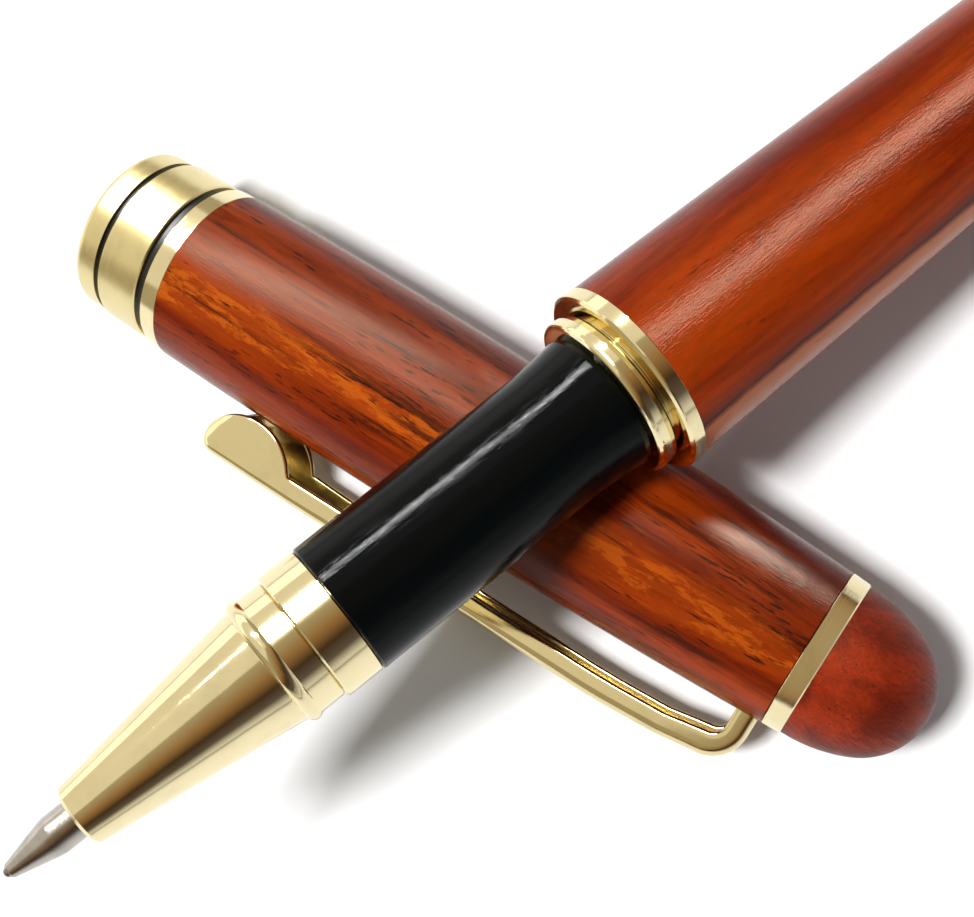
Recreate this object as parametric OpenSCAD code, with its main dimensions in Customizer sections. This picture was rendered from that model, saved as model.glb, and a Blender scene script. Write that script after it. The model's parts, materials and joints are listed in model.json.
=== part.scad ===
// Rollerball pen lying uncapped across its own cap.
// Millimetres. +Z is up and the surface it lies on is z = 0.
// Each half is drawn upright on its own axis and then laid in place.

/* [Resting pose] */
// lean of the pen, tail down on the surface, in degrees
pen_tilt = 10.88; // [5:0.01:16]
// heading of the pen away from +X, in degrees
pen_heading = 15.5; // [0:0.1:30]
// distance from the writing tip to the point that rests on the cap
pen_cross = 42.5; // [36:0.1:48]
// distance from the cap's mouth to the point the pen rests on
cap_cross = 41.2; // [35:0.1:50]
// turn of the cap about its own axis, which sets how low the clip lies
cap_roll = 17; // [0:1:28]
// gap left under the cap
rest_gap = 0.02; // [0.01:0.01:0.1]
// gap under the grip, as the rolled flange bears on the cap first
grip_gap = 0.38; // [0.02:0.02:1]

/* [Writing section] */
// radius of the black grip
grip_r = 4.6; // [4:0.05:5.5]
// how much the grip swells towards its rear end
grip_flare = 0.3; // [0:0.02:0.4]
// front edge of the grip
grip_front = 24.4; // [20:0.1:30]
// rear edge of the grip
grip_rear = 45.7; // [40:0.1:50]
// front rim of the nose cone
nose_front = 5.1; // [4:0.1:8]
// radius of the nose cone's front rim
nose_front_r = 2.05; // [1.6:0.05:2.6]
// rear end of the straight taper
nose_rear = 18.9; // [15:0.1:22]
// radius at the rear end of the straight taper
nose_rear_r = 4.04; // [3.6:0.02:4.4]
// radius over the bead behind the taper
bead_r = 4.43; // [4.2:0.01:4.6]
// radius of the narrow band behind the bead
narrow_band_r = 4.26; // [4.1:0.02:4.5]
// seam between the nose cone and the front collar
nose_seam = 21.65; // [20:0.05:23]
// radius of the wide band in front of the grip
wide_band_r = 4.54; // [4.3:0.02:4.6]
// radius over the rolled flange behind the grip
flange_r = 5.86; // [5.3:0.02:5.9]

/* [Refill] */
// radius of the writing ball
ball_r = 0.35; // [0.25:0.05:0.5]
// radius of the straight part of the metal tip
tip_r = 1.27; // [1:0.01:1.5]
// radius of the refill body
refill_r = 3; // [2.5:0.05:3.2]
// rear end of the refill body
refill_end = 96; // [80:1:100]

/* [Barrel] */
// front edge of the barrel ring
mouth_front = 47.42; // [46:0.02:50]
// front edge of the barrel's wood
wood_front = 48.55; // [47:0.05:52]
// rear edge of the barrel's wood
wood_rear = 110.6; // [90:0.1:125]
// radius of the barrel ring
mouth_r = 6.85; // [6.4:0.05:7.2]
// length of the ring in front of the tail dome
tail_ring_len = 1.4; // [1:0.1:3]
// length of the tail dome
tail_dome_len = 7.5; // [5:0.1:10]
// radius of the long arc that tapers the barrel
barrel_arc = 4440; // [2000:10:9000]

/* [Cap] */
// length of the rounded lip
lip_len = 2; // [1:0.1:3]
// length of the wide centre band
band_len = 3.7; // [2:0.1:6]
// radius of the wide centre band
band_r = 6.8; // [6.4:0.05:7.2]
// largest radius of the cap's wood
cap_r = 7.1; // [6.5:0.05:7.6]
// front edge of the cap's wood
cap_wood_front = 8.4; // [6:0.1:12]
// rear edge of the cap's wood
cap_wood_rear = 60.82; // [50:0.1:70]
// distance from the mouth to the cap's fattest point
cap_belly = 20.2; // [10:0.1:35]
// radius of the long arc that tapers the cap
cap_arc = 704; // [400:4:2000]
// length of the crown ring
crown_len = 1.45; // [1:0.05:3]
// length of the crown dome
dome_len = 7.55; // [5:0.05:10]
// radius of the bore that the rolled flange snaps into
mouth_bore_r = 5.94; // [5.4:0.02:6]

/* [Clip] */
// width of the clip's bar over its two flanges
clip_w = 2.6; // [2.4:0.1:3.2]
// width of the clip at its free end
clip_flare = 4.9; // [4:0.1:5.4]
// radius from the cap's axis to the clip's outer face near the free end
clip_out_tip = 11.4; // [10:0.1:13]
// radius from the cap's axis to the clip's outer face near the bend
clip_out_bend = 10.4; // [9:0.05:12]
// height of the channel's side flanges
clip_h = 1.9; // [1.2:0.05:2.5]
// wall thickness of the pressed strip
clip_wall = 0.5; // [0.4:0.05:0.7]

/* [Hidden] */
$fn = 64;
groove_a = 0.5;
groove_b = 0.7;
band_front = lip_len + groove_a;
band_rear = band_front + band_len;
wood_ring_front = band_rear + groove_b;
crown_front = cap_wood_rear;
dome_front = crown_front + crown_len;
cap_len = dome_front + dome_len;
tail_ring_front = wood_rear;
tail_dome_front = wood_rear + tail_ring_len;
barrel_mid = -13.1;
barrel_max_r = 7.168;
spigot_r = 6.2;
stud_r = 2;
thread_r = 4.65;

// placing
cap_axis_z = cap_r + rest_gap;
cross_r = cap_r - pow(cap_cross - cap_belly, 2) / (2 * cap_arc);
cross_gap = cross_r + grip_r + grip_gap;
pen_x = cos(pen_tilt) * cos(pen_heading);
pen_y = -cos(pen_tilt) * sin(pen_heading);
pen_z = -sin(pen_tilt);
lift = norm([pen_x, pen_z]);
origin_x = -18.69;
origin_y = -6.29;

module lay_pen() {
    translate([origin_x, origin_y, cap_axis_z])
        translate([-cross_gap * pen_z / lift, 0, cross_gap * pen_x / lift])
            rotate([0, 90 + pen_tilt, -pen_heading])
                translate([0, 0, -pen_cross])
                    children();
}

module lay_cap() {
    translate([origin_x, origin_y + cap_cross, cap_axis_z])
        rotate([90, 0, 0])
            children();
}

// a turned shape from radius and height pairs
module turned(points) {
    rotate_extrude()
        polygon(points);
}

// a plain turned sleeve
module sleeve(inner, outer, low, high) {
    turned([[inner, low], [outer, low], [outer, high], [inner, high]]);
}

// a solid whose radius falls away along a long arc from its fattest point
module arched(max_r, fattest, arc_r, low, high) {
    steps = 24;
    heights = [for (i = [0:steps]) low + (high - low) * i / steps];
    turned(concat([[0, low]], [for (z = heights) [max_r - pow(z - fattest, 2) / (2 * arc_r), z]],
                  [[0, high]]));
}

// half outline of a dome: a shoulder arc running smoothly into a nose arc
module dome_outline(base_r, height, nose_r) {
    gap = height - nose_r;
    shoulder_r = (pow(base_r, 2) + pow(gap, 2) - pow(nose_r, 2)) / (2 * (base_r - nose_r));
    back = shoulder_r - base_r;
    reach = norm([back, gap]);
    dir = [back / reach, gap / reach];
    join = [nose_r * dir[0], gap + nose_r * dir[1]];
    intersection() {
        translate([-back, 0])
            circle(r = shoulder_r);
        polygon([[0, 0], [base_r + 2, 0], join + 2 * dir, [0, gap]]);
    }
    intersection() {
        translate([0, gap])
            circle(r = nose_r);
        translate([0, gap - 0.01])
            square([base_r, nose_r + 1]);
    }
}

module refill_ball() {
    color("silver")
        translate([0, 0, ball_r])
            sphere(r = ball_r);
}

module refill_tip() {
    color("gainsboro")
        difference() {
            turned([[0, 0.3], [0.42, 0.3], [0.5, 0.42], [1.2, 3.1], [tip_r, 3.5], [tip_r, 9],
                    [1.9, 9], [1.9, 11], [0, 11]]);
            translate([0, 0, ball_r])
                sphere(r = ball_r + 0.02);
            translate([0, 0, ball_r])
                cylinder(r = 0.2, h = 12);
        }
}

module refill_tube() {
    color("whitesmoke")
        turned([[1.2, 11], [1.9, 11], [1.9, 16.5], [refill_r, 19.3], [refill_r, refill_end],
                [2.55, refill_end], [2.55, 20], [1.2, 17]]);
}

module refill_ink() {
    color("black")
        translate([0, 0, 20.2])
            cylinder(r = 2.5, h = refill_end - 23.4);
}

module refill_plug() {
    color("white")
        turned([[0, refill_end - 3], [2.55, refill_end - 3], [2.55, refill_end],
                [refill_r, refill_end], [refill_r, refill_end + 0.8], [0, refill_end + 0.8]]);
}

module refill_spring() {
    turns = 5;
    height = 106.3 - refill_end - 0.9;
    spread = 360 * turns * 0.5 / height;
    color("lightgrey")
        translate([0, 0, refill_end + 0.85])
            linear_extrude(height = height, twist = -360 * turns, slices = 110, $fn = 6)
                polygon(concat([for (i = [0:4]) 2.7 * [cos(spread * i / 4), sin(spread * i / 4)]],
                               [for (i = [4:-1:0]) 2.2 * [cos(spread * i / 4), sin(spread * i / 4)]]));
}

module nose_cone() {
    color("gold")
        difference() {
            union() {
                turned([[0, nose_front], [nose_front_r - 0.25, nose_front],
                        [nose_front_r, nose_front + 0.22], [nose_rear_r, nose_rear],
                        [narrow_band_r, 19.5], [narrow_band_r, nose_seam - 0.12],
                        [narrow_band_r - 0.12, nose_seam], [0, nose_seam]]);
                rotate_extrude()
                    intersection() {
                        translate([bead_r - 0.6, 19.5])
                            circle(r = 0.6);
                        translate([1, 18])
                            square([5, 4]);
                    }
            }
            translate([0, 0, nose_front - 1])
                cylinder(r = 1.35, h = 6);
            translate([0, 0, 8.9])
                cylinder(r = 2, h = 9);
            turned([[0, 16], [2, 16], [3.12, 18.4], [3.52, 18.9], [3.52, nose_seam + 1],
                    [0, nose_seam + 1]]);
        }
}

module nose_seal() {
    color("dimgray")
        sleeve(3.52, 3.95, nose_seam + 0.02, nose_seam + 0.3);
}

module front_collar() {
    color("gold")
        difference() {
            turned([[3.48, 19.2], [3.48, nose_seam + 0.32], [4.02, nose_seam + 0.32],
                    [4.02, nose_seam + 0.02], [wide_band_r - 0.12, nose_seam + 0.02],
                    [wide_band_r, nose_seam + 0.14], [wide_band_r, grip_front - 0.14],
                    [wide_band_r - 0.12, grip_front - 0.02], [3.98, grip_front - 0.02],
                    [3.98, 30], [0, 30], [0, 19.2]]);
            translate([0, 0, 15])
                cylinder(r = refill_r + 0.08, h = 20);
        }
}

module section_tube() {
    color("goldenrod")
        sleeve(refill_r + 0.15, 3.98, 30.02, 44.3);
}

module grip_sleeve() {
    color("black")
        turned([[4, grip_front], [grip_r - 0.1, grip_front], [grip_r, grip_front + 0.1],
                [grip_r, grip_rear - 4], [grip_r + grip_flare * 0.35, grip_rear - 2.2],
                [grip_r + grip_flare, grip_rear - 0.4], [grip_r + grip_flare - 0.12, grip_rear],
                [4, grip_rear]]);
}

module rear_coupler() {
    color("gold")
        difference() {
            union() {
                turned(concat([[0, grip_rear + 0.02]],
                              arc(flange_r - 0.4, grip_rear + 0.42, 0.4, -90, 0, 6),
                              [[flange_r - 0.02, 46.6], [flange_r - 0.1, 46.95],
                               [flange_r - 0.24, 47.12], [5.12, 47.14], [5.12, 47.4], [0, 47.4]]));
                translate([0, 0, 44.4])
                    cylinder(r = 3.98, h = 2);
                translate([0, 0, 47])
                    cylinder(r = thread_r, h = 7.6);
            }
            translate([0, 0, 40])
                cylinder(r = refill_r + 0.08, h = 20);
            sleeve(thread_r, 5.0, 47.16, 48);
        }
}

module section_seal() {
    color("dimgray")
        sleeve(thread_r + 0.03, 4.97, 47.18, 47.4);
}

module barrel_ring() {
    color("gold")
        turned([[thread_r + 0.05, mouth_front], [mouth_r - 0.24, mouth_front],
                [mouth_r - 0.05, mouth_front + 0.13], [mouth_r, mouth_front + 0.22],
                [mouth_r, wood_front - 0.08], [mouth_r - 0.08, wood_front],
                [thread_r + 0.05, wood_front]]);
}

module barrel_bushing() {
    color("goldenrod")
        sleeve(thread_r + 0.05, 5.3, wood_front + 0.01, 57);
}

module barrel_tube() {
    color("goldenrod")
        sleeve(3.7, 4.2, 57.1, 104);
}

module barrel_wood() {
    color("sienna")
        difference() {
            arched(barrel_max_r, barrel_mid, barrel_arc, wood_front + 0.01, wood_rear - 0.01);
            translate([0, 0, wood_front - 1])
                cylinder(r = 5.3, h = 9.5);
            translate([0, 0, 50])
                cylinder(r = 4.2, h = 54);
            translate([0, 0, 100])
                cylinder(r = 3.2, h = 6.4);
            translate([0, 0, 100])
                cylinder(r = stud_r + 0.05, h = 20);
        }
}

module tail_ring() {
    color("gold")
        turned([[stud_r + 0.05, tail_ring_front], [5.4, tail_ring_front],
                [5.52, tail_ring_front + 0.12], [5.48, tail_dome_front - 0.1],
                [5.4, tail_dome_front - 0.01], [stud_r + 0.05, tail_dome_front - 0.01]]);
}

module tail_stud() {
    color("goldenrod")
        translate([0, 0, 106.7])
            cylinder(r = stud_r, h = 8.5);
}

module tail_dome() {
    color("brown")
        difference() {
            translate([0, 0, tail_dome_front])
                rotate_extrude()
                    dome_outline(5.4, tail_dome_len, 4.85);
            translate([0, 0, 100])
                cylinder(r = stud_r, h = 15.2);
        }
}

module cap_lip() {
    color("gold")
        difference() {
            turned(concat([[0, 0]], arc(6.1, 0.55, 0.55, -90, 0, 8),
                          [[6.65, lip_len], [spigot_r, lip_len], [spigot_r, 14], [0, 14]]));
            translate([0, 0, -1])
                cylinder(r = mouth_bore_r, h = 4.2);
            translate([0, 0, -1])
                cylinder(r = 5.3, h = 20);
        }
}

module cap_groove_front() {
    color("black")
        sleeve(spigot_r, 6.4, lip_len + 0.01, band_front - 0.01);
}

module cap_band() {
    color("gold")
        turned([[spigot_r, band_front], [band_r - 0.1, band_front], [band_r, band_front + 0.1],
                [band_r, band_rear - 0.1], [band_r - 0.1, band_rear], [spigot_r, band_rear]]);
}

module cap_groove_rear() {
    color("black")
        sleeve(spigot_r, 6.48, band_rear + 0.01, wood_ring_front - 0.01);
}

module cap_wood_ring() {
    color("gold")
        turned([[spigot_r, wood_ring_front], [6.84, wood_ring_front], [6.92, wood_ring_front + 0.1],
                [6.95, cap_wood_front - 0.08], [6.9, cap_wood_front], [spigot_r, cap_wood_front]]);
}

module cap_wood() {
    color("sienna")
        difference() {
            arched(cap_r, cap_belly, cap_arc, cap_wood_front + 0.01, cap_wood_rear - 0.01);
            translate([0, 0, 5])
                cylinder(r = spigot_r, h = 9);
            translate([0, 0, 5])
                cylinder(r = 5.6, h = 49.5);
            translate([0, 0, 50])
                cylinder(r = 4, h = 8.82);
            translate([0, 0, 50])
                cylinder(r = stud_r + 0.05, h = 20);
            translate([0, 0, 59.4])
                cylinder(r = 4.22, h = 2);
            rotate([0, 0, cap_roll])
                translate([-7.5, -clip_w / 2 - 0.1, 58.85])
                    cube([3.3, clip_w + 0.2, 2.4]);
        }
}

module cap_tube() {
    color("goldenrod")
        sleeve(5.25, 5.6, 14.01, 54.4);
}

module cap_seal_cup() {
    color("black")
        turned([[3.4, 36], [5.25, 36], [5.25, 50], [0, 50], [0, 48.6], [1.8, 48.6], [1.8, 43], [3.4, 43]]);
}

module cap_bushing() {
    color("goldenrod")
        turned([[stud_r + 0.05, 51], [5.25, 51], [5.25, 54.4], [4, 54.4], [4, 58.8], [stud_r + 0.05, 58.8]]);
}

function arc(x, y, r, from, to, steps) =
    [for (i = [0:steps]) [x + r * cos(from + (to - from) * i / steps),
                          y + r * sin(from + (to - from) * i / steps)]];

// side view of the clip: along the cap, and out from its axis
module clip_outline() {
    inner = clip_out_tip - clip_h;
    polygon(concat([[59, 4.3], [60.6, 4.3]],
                   arc(57.6, clip_out_bend - 3, 3, 0, 80, 12),
                   [[55, clip_out_bend + 0.42], [50, clip_out_tip - 0.15], [20, clip_out_tip]],
                   arc(15.6, clip_out_tip - 1.45, 1.45, 92, 190, 9),
                   arc(18.35, 11.67, 4.6, 208, 333, 25),
                   [[24, inner], [40, inner - 0.15], [50, inner - 0.4], [55, clip_out_bend - 1.7]],
                   arc(58, clip_out_bend - 3.02, 1, 96, 0, 10)));
}

// the hollow of the pressed channel, open towards the cap
module clip_hollow() {
    polygon([[14.8, 6], [14.8, clip_out_tip - 1.4], [16.5, clip_out_tip - clip_wall - 0.1],
             [20, clip_out_tip - clip_wall], [50, clip_out_tip - clip_wall - 0.15],
             [55, clip_out_bend - clip_wall + 0.2], [56.6, clip_out_bend - 1.1], [56.6, 6]]);
}

// half of the clip's width, which swells towards its free end
function clip_half(z) =
    (clip_w + (clip_flare - clip_w) * (0.5 + 0.5 * cos(180 * min(1, max(0, (z - 21) / 18))))) / 2;

// plan of the clip: along the cap, and across it
module clip_plan(inset) {
    side = concat([[14, clip_flare / 2 - 0.9], [14.3, clip_flare / 2 - 0.4], [15, clip_flare / 2 - 0.1]],
                  [for (z = [16, 21, 23, 25, 27, 29, 31, 33, 35, 37, 39, 62]) [z, clip_half(z)]]);
    polygon(concat([for (p = side) [p[0], p[1] - inset]],
                   [for (i = [len(side) - 1:-1:0]) [side[i][0], inset - side[i][1]]]));
}

// the plan stood up, to cut the side view to width
module clip_width(inset) {
    translate([0, 14, 0])
        rotate([90, 0, 0])
            linear_extrude(height = 12)
                clip_plan(inset);
}

module clip() {
    color("gold")
        rotate([0, 0, cap_roll])
            rotate([90, -90, 0])
                difference() {
                    intersection() {
                        translate([0, 0, -3])
                            linear_extrude(height = 6)
                                clip_outline();
                        clip_width(0);
                    }
                    intersection() {
                        translate([0, 0, -3])
                            linear_extrude(height = 6)
                                clip_hollow();
                        clip_width(clip_wall);
                    }
                }
}

module clip_washer() {
    color("goldenrod")
        sleeve(stud_r + 0.05, 4.2, 59.42, cap_wood_rear - 0.02);
}

module crown_ring() {
    color("gold")
        turned([[stud_r + 0.05, crown_front], [5.86, crown_front], [5.95, crown_front + 0.1],
                [5.86, dome_front - 0.1], [5.78, dome_front - 0.01], [stud_r + 0.05, dome_front - 0.01]]);
}

module crown_stud() {
    color("goldenrod")
        translate([0, 0, 51.5])
            cylinder(r = stud_r, h = 14.5);
}

module crown_dome() {
    color("brown")
        difference() {
            translate([0, 0, dome_front])
                rotate_extrude()
                    dome_outline(5.75, dome_len, 5.2);
            translate([0, 0, 50])
                cylinder(r = stud_r, h = 16);
        }
}

lay_pen() refill_ball();
lay_pen() refill_tip();
lay_pen() refill_tube();
lay_pen() refill_ink();
lay_pen() refill_plug();
lay_pen() refill_spring();
lay_pen() nose_cone();
lay_pen() nose_seal();
lay_pen() front_collar();
lay_pen() section_tube();
lay_pen() grip_sleeve();
lay_pen() rear_coupler();
lay_pen() section_seal();
lay_pen() barrel_ring();
lay_pen() barrel_bushing();
lay_pen() barrel_tube();
lay_pen() barrel_wood();
lay_pen() tail_ring();
lay_pen() tail_stud();
lay_pen() tail_dome();
lay_cap() cap_lip();
lay_cap() cap_groove_front();
lay_cap() cap_band();
lay_cap() cap_groove_rear();
lay_cap() cap_wood_ring();
lay_cap() cap_wood();
lay_cap() cap_tube();
lay_cap() cap_seal_cup();
lay_cap() cap_bushing();
lay_cap() clip();
lay_cap() clip_washer();
lay_cap() crown_ring();
lay_cap() crown_stud();
lay_cap() crown_dome();
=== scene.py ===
import json
import math

import bmesh
import bpy
from mathutils import Matrix, Vector


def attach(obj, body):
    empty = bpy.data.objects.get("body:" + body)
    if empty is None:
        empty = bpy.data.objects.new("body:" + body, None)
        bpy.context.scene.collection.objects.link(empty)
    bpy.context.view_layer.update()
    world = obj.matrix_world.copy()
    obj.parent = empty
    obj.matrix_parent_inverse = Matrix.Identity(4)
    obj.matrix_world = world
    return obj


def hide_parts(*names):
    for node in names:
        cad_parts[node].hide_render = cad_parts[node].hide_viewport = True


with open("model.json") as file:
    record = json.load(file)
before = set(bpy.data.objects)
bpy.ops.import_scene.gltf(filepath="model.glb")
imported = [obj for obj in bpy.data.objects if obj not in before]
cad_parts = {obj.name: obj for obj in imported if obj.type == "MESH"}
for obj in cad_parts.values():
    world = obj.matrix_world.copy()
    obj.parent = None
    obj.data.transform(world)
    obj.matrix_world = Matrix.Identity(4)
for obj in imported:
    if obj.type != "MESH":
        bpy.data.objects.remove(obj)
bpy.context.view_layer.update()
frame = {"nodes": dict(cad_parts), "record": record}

mounts = {mount["name"]: mount for mount in frame["record"]["mounts"]}


# ---- camera ---------------------------------------------------------------------

CAMERA_AT = Vector((-0.02877, -0.02780, 0.10447))
CAMERA_RIGHT = Vector((0.55099, -0.81468, -0.18086))
CAMERA_UP = Vector((0.82936, 0.51053, 0.22698))
CAMERA_BACK = Vector((-0.09259, -0.27506, 0.95696))

camera = bpy.data.objects.new("camera", bpy.data.cameras.new("camera"))
camera.data.sensor_width = 36
camera.data.lens = 51.74
camera.data.clip_start = 0.005
camera.matrix_world = Matrix.Translation(CAMERA_AT) @ Matrix(
    (CAMERA_RIGHT, CAMERA_UP, CAMERA_BACK)).transposed().to_4x4()
bpy.context.scene.collection.objects.link(camera)
bpy.context.scene.camera = camera


# ---- the two turned halves' own spaces -------------------------------------------

def turned_space(origin, axis):
    """A half's end point and the turn of its space: z along it, x towards the camera."""
    along = Vector(axis).normalized()
    facing = (CAMERA_BACK - along * CAMERA_BACK.dot(along)).normalized()
    turn = Matrix((facing, along.cross(facing), along)).transposed()
    return Vector(origin), turn.to_euler("XYZ")


MM = 0.001
MOUTH_INSIDE_LIP = 1.7 * MM
pen_axis = -Vector(mounts["writing_tip"]["axis"])
cap_axis = -Vector(mounts["cap_mouth"]["axis"])
PEN = turned_space(mounts["writing_tip"]["pos_m"], pen_axis)
CAP = turned_space(Vector(mounts["cap_mouth"]["pos_m"]) - cap_axis * MOUTH_INSIDE_LIP,
                   cap_axis)


# ---- node materials --------------------------------------------------------------

def colour(red, green, blue):
    """A screen colour, 0 to 255, as a linear one."""
    return tuple((c / 12.92 if c <= 0.04045 else ((c + 0.055) / 1.055) ** 2.4)
                 for c in (red / 255, green / 255, blue / 255)) + (1.0,)


def darker(shade, share):
    return tuple(c * share for c in shade[:3]) + (1.0,)


def add_node(tree, kind, inputs=(), **settings):
    """One node, with its settings made and then its inputs linked or set."""
    node = tree.nodes.new(kind)
    for key, value in settings.items():
        setattr(node, key, value)
    for key, value in dict(inputs).items():
        if isinstance(value, bpy.types.NodeSocket):
            tree.links.new(value, node.inputs[key])
        else:
            node.inputs[key].default_value = value
    return node


# the colour sockets of a Mix node
MIX_A, MIX_B, MIX_RESULT = 6, 7, 2


class Look:
    """A node material, written one node at a time, in millimetres of a half's space."""

    def __init__(self, name, space=None, **shader):
        self.material = bpy.data.materials.new(name)
        self.material.use_nodes = True
        self.tree = self.material.node_tree
        self.shader = self.tree.nodes["Principled BSDF"]
        for socket, value in shader.items():
            self.shader.inputs[socket.replace("_", " ")].default_value = value
        here = self.add("ShaderNodeTexCoord").outputs["Object"]
        at, turn = space or (Vector(), (0, 0, 0))
        self.at = self.add("ShaderNodeMapping", {
            "Vector": here, "Location": at, "Rotation": turn, "Scale": (MM,) * 3},
            vector_type="TEXTURE").outputs[0]
        self.x, self.y, self.z = self.add(
            "ShaderNodeSeparateXYZ", {"Vector": self.at}).outputs

    def add(self, kind, inputs=(), **settings):
        return add_node(self.tree, kind, inputs, **settings)

    def math(self, operation, a, b=0.0, c=0.0):
        return self.add("ShaderNodeMath", {0: a, 1: b, 2: c}, operation=operation).outputs[0]

    def scaled(self, across, along, shift=0.0):
        """The space stretched along the grain, to sample noise in."""
        return self.add("ShaderNodeMapping", {
            "Vector": self.at, "Location": (shift, shift * 0.7, shift * 1.3),
            "Scale": (across, across, along)}, vector_type="POINT").outputs[0]

    def noise(self, across, along, shift=0.0, detail=3.0, roughness=0.55, distortion=0.0):
        return self.add("ShaderNodeTexNoise", {
            "Vector": self.scaled(across, along, shift), "Scale": 1.0, "Detail": detail,
            "Roughness": roughness, "Distortion": distortion}).outputs["Fac"]

    def step(self, value, low, high):
        """0 below low, 1 above high, smooth between; low may be the larger."""
        return self.add("ShaderNodeMapRange", {
            "Value": value, "From Min": low, "From Max": high},
            interpolation_type="SMOOTHSTEP").outputs[0]

    def mix(self, factor, a, b, blend="MIX"):
        return self.add("ShaderNodeMix", {"Factor": factor, MIX_A: a, MIX_B: b},
                        data_type="RGBA", blend_type=blend).outputs[MIX_RESULT]

    def bump(self, height, distance, strength=1.0, after=None):
        inputs = {"Height": height, "Distance": distance, "Strength": strength}
        if after is not None:
            inputs["Normal"] = after
        return self.add("ShaderNodeBump", inputs).outputs[0]

    def angle(self):
        """Degrees round the axis from the side that faces the camera."""
        turn = self.math("ARCTAN2", self.y, self.x)
        return self.math("MULTIPLY", turn, 180 / math.pi)

    def band(self, value, centre, half, soft):
        """1 within half of centre, falling to 0 over soft."""
        off = self.math("ABSOLUTE", self.math("SUBTRACT", value, centre))
        return self.step(off, half + soft, half)

    def set(self, **sockets):
        for socket, value in sockets.items():
            self.tree.links.new(value, self.shader.inputs[socket.replace("_", " ")])
        return self.material


GOLD = (0.835, 0.73, 0.445, 1.0)
CLIP_GOLD = (0.76, 0.645, 0.36, 1.0)
SATIN_GOLD = (0.76, 0.645, 0.335, 1.0)
BRASS = colour(206, 166, 96)
BLACK = colour(14, 13, 10)
RUBBER = colour(26, 26, 26)
# the woods' lacquer reflects little, and warmly
LACQUER_TINT = (1.0, 0.86, 0.62, 1.0)
LACQUER_LEVEL = 0.11
DOME_LEVEL = 0.15
GRAIN_DIP = math.radians(58)


def cap_wood_look():
    look = Look("cap_wood", CAP, Specular_IOR_Level=LACQUER_LEVEL, Specular_Tint=LACQUER_TINT)
    wander = look.noise(0.12, 0.03, 3.1, detail=2)
    lane = look.math("ADD", look.angle(), look.math("MULTIPLY_ADD", wander, 60, -30))
    broad = look.noise(0.30, 0.030, 0.0, detail=6, roughness=0.62, distortion=0.5)
    tone = look.mix(look.step(broad, 0.36, 0.64), colour(84, 20, 3), colour(138, 50, 7))
    # a warm lane with amber streaks on the upper side, ragged and broken into blocks
    warm = look.math("MULTIPLY", look.band(lane, 14, 8, 16), look.step(broad, 0.25, 0.55))
    tone = look.mix(look.math("MULTIPLY", warm, 0.45), tone, colour(140, 56, 10))
    ragged = look.noise(2.2, 0.9, 7.7, detail=4, roughness=0.7)
    ragged = look.math("ADD", lane, look.math("MULTIPLY_ADD", ragged, 24, -12))
    amber_lane = look.band(ragged, 15, 7, 7)
    block = look.step(look.noise(1.2, 0.30, 12.4, detail=6, roughness=0.72), 0.47, 0.55)
    amber = look.math("MULTIPLY", amber_lane, block)
    other = look.step(look.noise(0.8, 0.045, 21.0, detail=6, roughness=0.7), 0.58, 0.70)
    amber = look.math("MAXIMUM", amber, look.math("MULTIPLY", other, 0.55))
    # the amber is fainter towards the rear, partly wood and partly painted shade under the pen
    strength = look.math("MULTIPLY_ADD", look.step(look.z, 32, 40), -0.25, 0.8)
    tone = look.mix(look.math("MULTIPLY", amber, strength), tone, colour(172, 82, 16))
    # dark heartwood streaks, soft at their edges
    dark = look.noise(0.65, 0.030, 33.0, detail=7, roughness=0.68, distortion=0.4)
    dark = look.step(dark, 0.51, 0.66)
    tone = look.mix(look.math("MULTIPLY", dark, 0.85), tone, colour(46, 12, 4))
    # painted shadow of the pen: a darker stretch on the wood under it, broken up by the grain
    painted_pen_shadow = look.math("MULTIPLY", look.band(look.z, 40.5, 3, 6), look.step(broad, 0.2, 0.5))
    tone = look.mix(look.math("MULTIPLY", painted_pen_shadow, 0.5), tone, colour(60, 16, 5))
    fibre = look.noise(4.6, 0.30, 41.0, detail=5, roughness=0.7)
    tone = look.mix(look.step(fibre, 0.25, 0.85), tone, colour(226, 200, 170), "SOFT_LIGHT")
    # short dark pores, in groups
    pore = look.noise(5.0, 0.55, 55.0, detail=2, roughness=0.5)
    group = look.noise(0.7, 0.07, 61.0, detail=4, roughness=0.6)
    pore = look.math("ADD", pore, look.math("MULTIPLY", group, 0.8))
    pore = look.step(pore, 1.03, 1.13)
    tone = look.mix(look.math("MULTIPLY", pore, 0.85), tone, colour(34, 12, 7))
    rough = look.math("MULTIPLY_ADD", look.noise(1.2, 0.3, 5.0), 0.12, 0.17)
    normal = look.bump(look.noise(9.0, 1.2, 71.0, detail=3), 0.00003, 0.6)
    return look.set(Base_Color=tone, Roughness=rough, Normal=normal)


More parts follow.
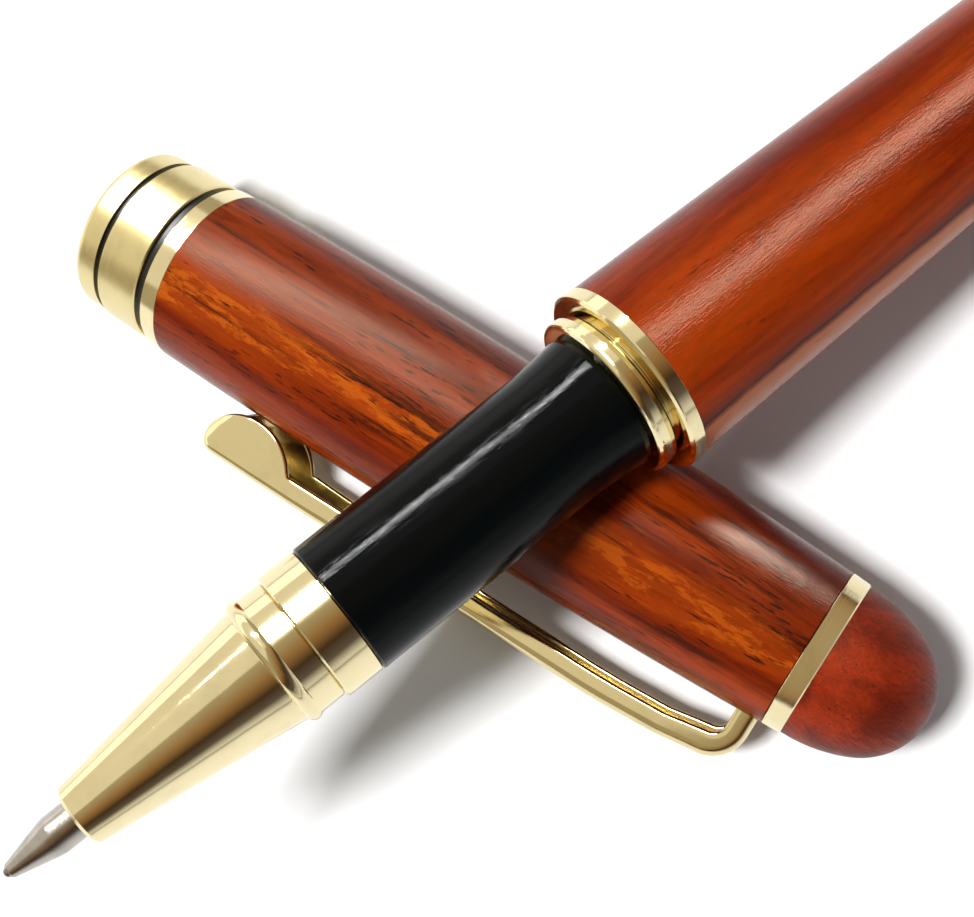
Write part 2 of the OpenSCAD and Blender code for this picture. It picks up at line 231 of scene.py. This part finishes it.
def barrel_wood_look():
    look = Look("barrel_wood", PEN, Specular_IOR_Level=LACQUER_LEVEL, Specular_Tint=LACQUER_TINT)
    broad = look.noise(0.22, 0.030, 2.0, detail=6, roughness=0.6, distortion=0.6)
    tone = look.mix(look.step(broad, 0.36, 0.66), colour(95, 24, 3), colour(139, 54, 9))
    streak = look.noise(0.7, 0.045, 17.0, detail=7, roughness=0.7, distortion=0.3)
    streak = look.step(streak, 0.52, 0.70)
    tone = look.mix(look.math("MULTIPLY", streak, 0.6), tone, colour(78, 20, 5))
    mottle = look.noise(1.8, 0.7, 37.0, detail=5, roughness=0.7)
    tone = look.mix(look.step(mottle, 0.25, 0.8), tone, colour(226, 190, 150), "SOFT_LIGHT")
    fibre = look.noise(5.5, 0.7, 43.0, detail=4, roughness=0.7)
    tone = look.mix(look.step(fibre, 0.2, 0.9), tone, colour(205, 180, 155), "SOFT_LIGHT")
    # low on the side, a pale strip painted as the white floor's reflection, below a long thin dark
    # line in the grain
    sway = look.math("MULTIPLY_ADD", look.noise(0.04, 0.07, 9.0, detail=5, roughness=0.6), 12, -6)
    lane = look.math("ADD", look.angle(), sway)
    painted_floor_reflection = look.math("MULTIPLY", look.band(lane, 66, 11, 5), 0.7)
    tone = look.mix(painted_floor_reflection, tone, colour(196, 112, 62))
    halo = look.math("MULTIPLY", look.band(lane, 45, 0.5, 7.0), 0.35)
    tone = look.mix(halo, tone, colour(74, 20, 8))
    broken = look.step(look.noise(0.4, 0.16, 29.0, detail=4), 0.30, 0.50)
    line = look.math("MULTIPLY", look.band(lane, 49, 0.3, 1.6), look.math("MULTIPLY", broken, 0.85))
    tone = look.mix(line, tone, colour(38, 14, 9))
    pore = look.noise(6.0, 0.9, 57.0, detail=2, roughness=0.5)
    group = look.noise(0.6, 0.06, 63.0, detail=4)
    pore = look.step(look.math("ADD", pore, look.math("MULTIPLY", group, 0.7)), 1.04, 1.14)
    tone = look.mix(look.math("MULTIPLY", pore, 0.55), tone, colour(60, 16, 8))
    rough = look.math("MULTIPLY_ADD", look.noise(1.4, 0.4, 5.0), 0.10, 0.16)
    normal = look.bump(look.noise(7.0, 1.4, 73.0, detail=3), 0.00004, 0.6)
    return look.set(Base_Color=tone, Roughness=rough, Normal=normal)


def dome_look(name, space, grain):
    """End grain: the fibres run across the half's axis, turned by grain degrees."""
    look = Look(name, space, Specular_IOR_Level=DOME_LEVEL, Specular_Tint=LACQUER_TINT)
    look.at = look.add("ShaderNodeMapping", {
        "Vector": look.at, "Rotation": (0.0, GRAIN_DIP, math.radians(grain)),
        "Scale": (1.0, 1.0, 1.0)}, vector_type="POINT").outputs[0]
    broad = look.noise(0.34, 0.09, 4.0, detail=5, roughness=0.6, distortion=0.3)
    tone = look.mix(look.step(broad, 0.33, 0.68), colour(84, 21, 6), colour(134, 42, 14))
    fibre = look.noise(4.0, 0.4, 47.0, detail=4, roughness=0.7)
    tone = look.mix(look.step(fibre, 0.3, 0.75), tone, colour(235, 200, 170), "SOFT_LIGHT")
    pore = look.step(look.noise(6.0, 1.1, 59.0, detail=2), 0.62, 0.70)
    tone = look.mix(look.math("MULTIPLY", pore, 0.7), tone, colour(46, 9, 6))
    rough = look.math("MULTIPLY_ADD", look.noise(2.0, 0.6, 5.0), 0.16, 0.34)
    normal = look.bump(fibre, 0.00014, 0.8)
    return look.set(Base_Color=tone, Roughness=rough, Normal=normal)


def gold_look(name, space, shade, polish, turning):
    """Gilt plate: polish is its roughness, turning the depth of its lathe lines."""
    look = Look(name, space, Metallic=1.0)
    worn = look.noise(0.5, 0.5, 3.0, detail=2)
    tone = look.mix(look.step(worn, 0.45, 0.95), shade, darker(shade, 0.86))
    lines = look.noise(0.02, 14.0, 7.0, detail=2)
    smear = look.math("MULTIPLY_ADD", look.noise(0.9, 0.9, 9.0, detail=2), 0.06, polish)
    normal = look.bump(lines, turning, 1.0)
    normal = look.bump(look.noise(0.5, 0.5, 13.0, detail=1), 0.00002, 0.5, normal)
    return look.set(Base_Color=tone, Roughness=smear, Normal=normal)


def grip_look():
    """Black lacquer, nearly a mirror, with fine scuffs along it in patches."""
    look = Look("grip_black", PEN, Specular_IOR_Level=0.09)
    worn = look.noise(0.35, 0.04, 4.0, detail=5, roughness=0.7)
    tone = look.mix(worn, colour(3, 5, 5), colour(9, 13, 14))
    scuff = look.noise(6.0, 0.45, 19.0, detail=4, roughness=0.65)
    patch = look.step(look.noise(0.8, 0.16, 23.0, detail=3), 0.40, 0.60)
    scuffed = look.math("MULTIPLY", look.step(scuff, 0.4, 0.6), patch)
    rough = look.math("MULTIPLY_ADD", scuffed, 0.22, 0.03)
    normal = look.bump(scuff, 0.00001, 0.9)
    return look.set(Base_Color=tone, Roughness=rough, Normal=normal)


def plain_look(name, space, shade, rough, metallic=0.0, lines=0.0, grain=0.00001):
    """A small piece: an even colour, slightly uneven polish, fine marks and lathe lines."""
    look = Look(name, space, Metallic=metallic)
    patch = look.noise(1.1, 1.1, 6.0, detail=4)
    tone = look.mix(look.step(patch, 0.4, 0.8), shade, darker(shade, 0.8))
    polish = look.math("MULTIPLY_ADD", look.noise(2.4, 2.4, 8.0), 0.06, rough)
    normal = look.bump(look.noise(8, 8, 11.0), grain, 0.5)
    if lines:
        normal = look.bump(look.noise(0.02, 9.0, 15.0, detail=2), lines, 1.0, normal)
    return look.set(Base_Color=tone, Roughness=polish, Normal=normal)


looks = {
    "cap_wood": cap_wood_look(),
    "barrel_wood": barrel_wood_look(),
    "crown_dome": dome_look("crown_dome_wood", CAP, 24),
    "tail_dome": dome_look("tail_dome_wood", PEN, -18),
    "grip_sleeve": grip_look(),
    "refill_tip": plain_look("tip_steel", PEN, colour(182, 176, 170), 0.20, metallic=1.0,
                             lines=0.000008, grain=0.000002),
    "refill_ball": plain_look("ball_steel", PEN, colour(150, 146, 142), 0.10, metallic=1.0),
    "refill_spring": plain_look("spring_steel", PEN, colour(170, 168, 164), 0.22,
                                metallic=1.0),
    "refill_tube": plain_look("refill_plastic", PEN, colour(226, 226, 220), 0.28),
    "refill_plug": plain_look("plug_plastic", PEN, colour(40, 60, 120), 0.35),
    "refill_ink": plain_look("ink_fibre", PEN, colour(20, 22, 48), 0.7, grain=0.00004),
    "nose_seal": plain_look("nose_rubber", PEN, RUBBER, 0.6),
    "section_seal": plain_look("section_rubber", PEN, RUBBER, 0.6),
    "cap_groove_front": plain_look("groove_front_black", CAP, BLACK, 0.3),
    "cap_groove_rear": plain_look("groove_rear_black", CAP, BLACK, 0.3),
    "cap_seal_cup": plain_look("cup_black", CAP, colour(24, 24, 25), 0.5),
}
for node in ("nose_cone", "front_collar", "rear_coupler", "barrel_ring", "tail_ring"):
    looks[node] = gold_look(node + "_gold", PEN, GOLD, polish=0.06, turning=0.000004)
for node in ("cap_wood_ring", "crown_ring"):
    looks[node] = gold_look(node + "_gold", CAP, GOLD, polish=0.08, turning=0.000006)
for node in ("cap_lip", "cap_band"):
    looks[node] = gold_look(node + "_gold", CAP, SATIN_GOLD, polish=0.22, turning=0.000012)
looks["clip"] = gold_look("clip_gold", CAP, CLIP_GOLD, polish=0.08, turning=0.0)
for node in ("section_tube", "barrel_bushing", "barrel_tube", "tail_stud"):
    looks[node] = plain_look(node + "_brass", PEN, BRASS, 0.26, metallic=1.0, lines=0.00002)
for node in ("cap_tube", "cap_bushing", "clip_washer", "crown_stud"):
    looks[node] = plain_look(node + "_brass", CAP, BRASS, 0.26, metallic=1.0, lines=0.00002)

for node, piece in frame["nodes"].items():
    piece.data.materials.clear()
    piece.data.materials.append(looks[node])


# ---- the pressed clip, swept from its free end to its leg ------------------------

# in millimetres; the side view's points are (along the cap, out from its axis)
CLIP_WALL = 0.5
BAR_HALF = 1.3
CHEEK_HALF = 2.45
SWELL = CHEEK_HALF - BAR_HALF
BACK_OUT = 11.4
RIM_OUT = 9.5
CURL = ((15.6, 9.95), 1.45)
CHEEK = ((18.35, 11.67), 4.6)
BEND_OUTSIDE = ((57.6, 7.4), 3.0)
BEND_INSIDE = ((58, 7.38), 1.0)
LEG_END = ((60.6, 4.4), (59, 4.4))


def polar(circle, turn):
    """The point of a circle, a centre and a radius, at an angle in degrees."""
    (along, out), radius = circle
    turn = math.radians(turn)
    return along + radius * math.cos(turn), out + radius * math.sin(turn)


def channel(half, depth, corner, wall):
    """One closed round-backed section: across, and in from the back."""
    wall = min(wall, half * 0.45, depth * 0.45)
    corner = min(corner, half * 0.95, max(depth - wall, depth * 0.5))
    inner = max(corner - wall, 0.04)
    right = [polar(((half - corner, corner), corner), 90 * turn / 8 - 90)
             for turn in range(9)]
    right.append((half, (corner + depth) / 2))
    right += [polar(((half - wall / 2, depth - wall / 2), wall / 2), 180 * turn / 6)
              for turn in range(7)]
    right += [polar(((half - wall - inner, wall + inner), inner), -90 * turn / 4)
              for turn in range(5)]
    return right + [(-across, inward) for across, inward in reversed(right)]


def clip_stations():
    """Points on the side view's back and rim, with half the width and the corner's radius."""
    stations = []
    # the rounded free end
    for step in range(10):
        half = BAR_HALF + SWELL * math.sin(math.radians(90 * step / 9)) ** 0.8
        stations.append((polar(CURL, 192 - 102 * step / 9), polar(CHEEK, 209 + 52 * step / 9),
                         half, 0.75))
    # the deep cheeks behind it
    for step in range(1, 13):
        place = 15.6 + 6.9 * step / 12
        stations.append(((place, BACK_OUT), polar(CHEEK, 261 + 71 * step / 12),
                         CHEEK_HALF - 0.02 * max(0.0, place - 20), 0.75))
    # the bar, narrowing and then sinking a little
    for step in range(17):
        place = 23.2 + 31.8 * step / 16
        swell = 0.5 + 0.5 * math.cos(math.pi * min(1, (place - 21) / 18))
        sink = 0.15 * max(0, place - 40) / 10 + 0.33 * max(0, place - 50) / 5
        stations.append(((place, BACK_OUT - sink), (place, RIM_OUT - sink * 0.9),
                         BAR_HALF + SWELL * swell, 0.95 - 0.2 * swell))
    # the bend into the leg
    for step in range(1, 13):
        turn = 80 * (1 - step / 12)
        stations.append((polar(BEND_OUTSIDE, turn), polar(BEND_INSIDE, turn * 1.2),
                         BAR_HALF, 0.95 - 0.25 * step / 12))
    return stations + [LEG_END + (BAR_HALF, 0.7)]


def swept_clip():
    """The clip's fine mesh, which stands in for its CAD mesh."""
    out = Vector(mounts["clip_gap"]["pos_m"]) - CAP[0]
    out = (out - cap_axis * out.dot(cap_axis)).normalized()
    across = cap_axis.cross(out)
    stations = clip_stations()
    points = []
    for back, rim, half, corner in stations:
        back, rim = Vector(back), Vector(rim)
        depth = max((rim - back).length, 0.3)
        inwards = (rim - back).normalized()
        for aside, inward in channel(half, depth, corner, CLIP_WALL):
            place = back + inwards * inward
            points.append(CAP[0] + (cap_axis * place[0] + out * place[1] + across * aside) * MM)
    loop = len(points) // len(stations)
    faces = [(row * loop + i, row * loop + (i + 1) % loop, (row + 1) * loop + (i + 1) % loop,
              (row + 1) * loop + i) for row in range(len(stations) - 1) for i in range(loop)]
    # close the two ends strip by strip across the wall
    half = loop // 2
    for start in (0, (len(stations) - 1) * loop):
        faces += [(start + i, start + i + 1, start + loop - 2 - i, start + loop - 1 - i)
                  for i in range(half - 1)]
    shape = bpy.data.meshes.new("clip_swept")
    shape.from_pydata(points, [], faces)
    mesh = bmesh.new()
    mesh.from_mesh(shape)
    bmesh.ops.recalc_face_normals(mesh, faces=mesh.faces)
    mesh.to_mesh(shape)
    mesh.free()
    shape.polygons.foreach_set("use_smooth", [True] * len(shape.polygons))
    shape.set_sharp_from_angle(angle=math.radians(50))
    shape.materials.append(looks["clip"])
    piece = bpy.data.objects.new("clip_swept", shape)
    bpy.context.scene.collection.objects.link(piece)
    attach(piece, "clip")
    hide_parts("clip")


swept_clip()


# ---- floor and light -------------------------------------------------------------

FLOOR_HALF = 3.0
floor_mesh = bpy.data.meshes.new("floor")
floor_mesh.from_pydata([(x * FLOOR_HALF, y * FLOOR_HALF, 0)
                        for x, y in ((-1, -1), (1, -1), (1, 1), (-1, 1))], [], [(0, 1, 2, 3)])
floor = bpy.data.objects.new("floor", floor_mesh)
bpy.context.scene.collection.objects.link(floor)
paper = Look("floor_white", Specular_IOR_Level=0.2)
speck = paper.noise(0.02, 0.02, detail=3)
floor_mesh.materials.append(paper.set(
    Base_Color=paper.mix(speck, (0.86, 0.86, 0.86, 1), (0.89, 0.89, 0.89, 1)),
    Roughness=paper.math("MULTIPLY_ADD", speck, 0.1, 0.5)))


SUBJECT = (-0.01, 0, 0.01)
STRIP_AT = (0.17, 0.22, 0.355)
UP = (0, 0, 1)


def lamp(name, at, size, radiance, seen_in, target=SUBJECT, along=(0, 1, 0),
         shape="RECTANGLE"):
    """An area light given by the brightness that a mirror would show; its length lies along."""
    width, length = size
    data = bpy.data.lights.new(name, "AREA")
    data.shape = shape
    data.size, data.size_y = width, length
    data.energy = radiance * width * length * math.pi
    piece = bpy.data.objects.new(name, data)
    back = (Vector(at) - Vector(target)).normalized()
    side = Vector(along).cross(back).normalized()
    piece.matrix_world = Matrix.Translation(at) @ Matrix(
        (side, back.cross(side), back)).transposed().to_4x4()
    piece.visible_camera = False
    piece.visible_diffuse = seen_in == "matt"
    piece.visible_glossy = seen_in == "gloss"
    bpy.context.scene.collection.objects.link(piece)
    return piece


def beside(space, turn, place, distance):
    """A point beside a half at an angle round its axis, and the axis point that it faces."""
    facing, across, along = space[1].to_matrix().col
    target = space[0] + along * place
    turn = math.radians(turn)
    return target + (facing * math.cos(turn) + across * math.sin(turn)) * distance, target


lamp("key", (-0.222, 0.122, 0.655), (0.12, 0.12), 125, "matt")
overhead = lamp("overhead", (0.105, 0.125, 0.43), (0.12, 0.20), 18, "gloss", shape="ELLIPSE")
strip = lamp("strip", STRIP_AT, (0.008, 0.40), 260, "gloss", along=pen_axis)
glint = lamp("glint", STRIP_AT, (0.005, 0.40), 620, "gloss", along=pen_axis)
at, target = beside(PEN, turn=-20, place=0.30, distance=0.35)
barrel_sheen = lamp("barrel_sheen", at, (0.10, 0.30), 32, "gloss", target, pen_axis)
at, target = beside(CAP, turn=-74, place=0.008, distance=0.40)
cap_sheen = lamp("cap_sheen", at, (0.12, 0.10), 100, "gloss", target)
lamp("sky_box", (0.00, 0.33, 0.50), (1.30, 0.78), 0.40, "gloss", along=UP)
lamp("far_box", (0.00, 0.62, 0.14), (1.20, 0.26), 1.1, "gloss", along=UP)
# the grip takes a narrow streak of its own, the two woods a broad sheen each
for piece, state, nodes in ((glint, "INCLUDE", ["grip_sleeve"]),
                            (barrel_sheen, "INCLUDE", ["barrel_wood"]),
                            (cap_sheen, "INCLUDE", ["cap_wood"]),
                            (overhead, "EXCLUDE", ["grip_sleeve", "barrel_wood"]),
                            (strip, "EXCLUDE", ["grip_sleeve", "barrel_wood"])):
    group = bpy.data.collections.new(piece.name + "_receivers")
    for node in nodes:
        group.objects.link(frame["nodes"][node])
    for entry in group.collection_objects:
        entry.light_linking.link_state = state
    piece.light_linking.receiver_collection = group

# what gloss mirrors of the room, from overhead (0) down to the horizon in front (1)
ROOM = ((0.00, (0.46, 0.40, 0.28)), (0.30, (0.34, 0.19, 0.08)), (0.55, (0.06, 0.035, 0.02)),
        (0.78, (0.12, 0.10, 0.09)), (0.96, (0.75, 0.74, 0.72)))
FILL = (0.19, 0.19, 0.19, 1)
BACKDROP = (0.93, 0.93, 0.93, 1)

world = bpy.data.worlds.new("studio")
world.use_nodes = True
bpy.context.scene.world = world
tree = world.node_tree


def sky(kind, inputs=(), **settings):
    return add_node(tree, kind, inputs, **settings).outputs


towards = sky("ShaderNodeSeparateXYZ", {0: sky("ShaderNodeTexCoord")["Generated"]})
front = sky("ShaderNodeMath", {0: towards["Y"], 1: -1.0}, operation="MULTIPLY")[0]
lean = sky("ShaderNodeMath", {0: front, 1: towards["Z"]}, operation="ARCTAN2")[0]
lean = sky("ShaderNodeMath", {0: lean, 1: 2 / math.pi}, operation="MULTIPLY")[0]
ramp = add_node(tree, "ShaderNodeValToRGB", {0: lean})
stops = ramp.color_ramp.elements
while len(stops) < len(ROOM):
    stops.new(0.5)
for stop, (place, shade) in zip(stops, ROOM):
    stop.position = place
    stop.color = shade + (1,)
ray = sky("ShaderNodeLightPath")
matt = sky("ShaderNodeMix", {"Factor": ray["Is Diffuse Ray"], MIX_A: ramp.outputs[0],
                             MIX_B: FILL}, data_type="RGBA")[MIX_RESULT]
seen = sky("ShaderNodeMix", {"Factor": ray["Is Camera Ray"], MIX_A: matt,
                             MIX_B: BACKDROP}, data_type="RGBA")[MIX_RESULT]
background = tree.nodes["Background"]
tree.links.new(seen, background.inputs["Color"])
background.inputs["Strength"].default_value = 1.0

bpy.context.scene.view_settings.view_transform = "Standard"
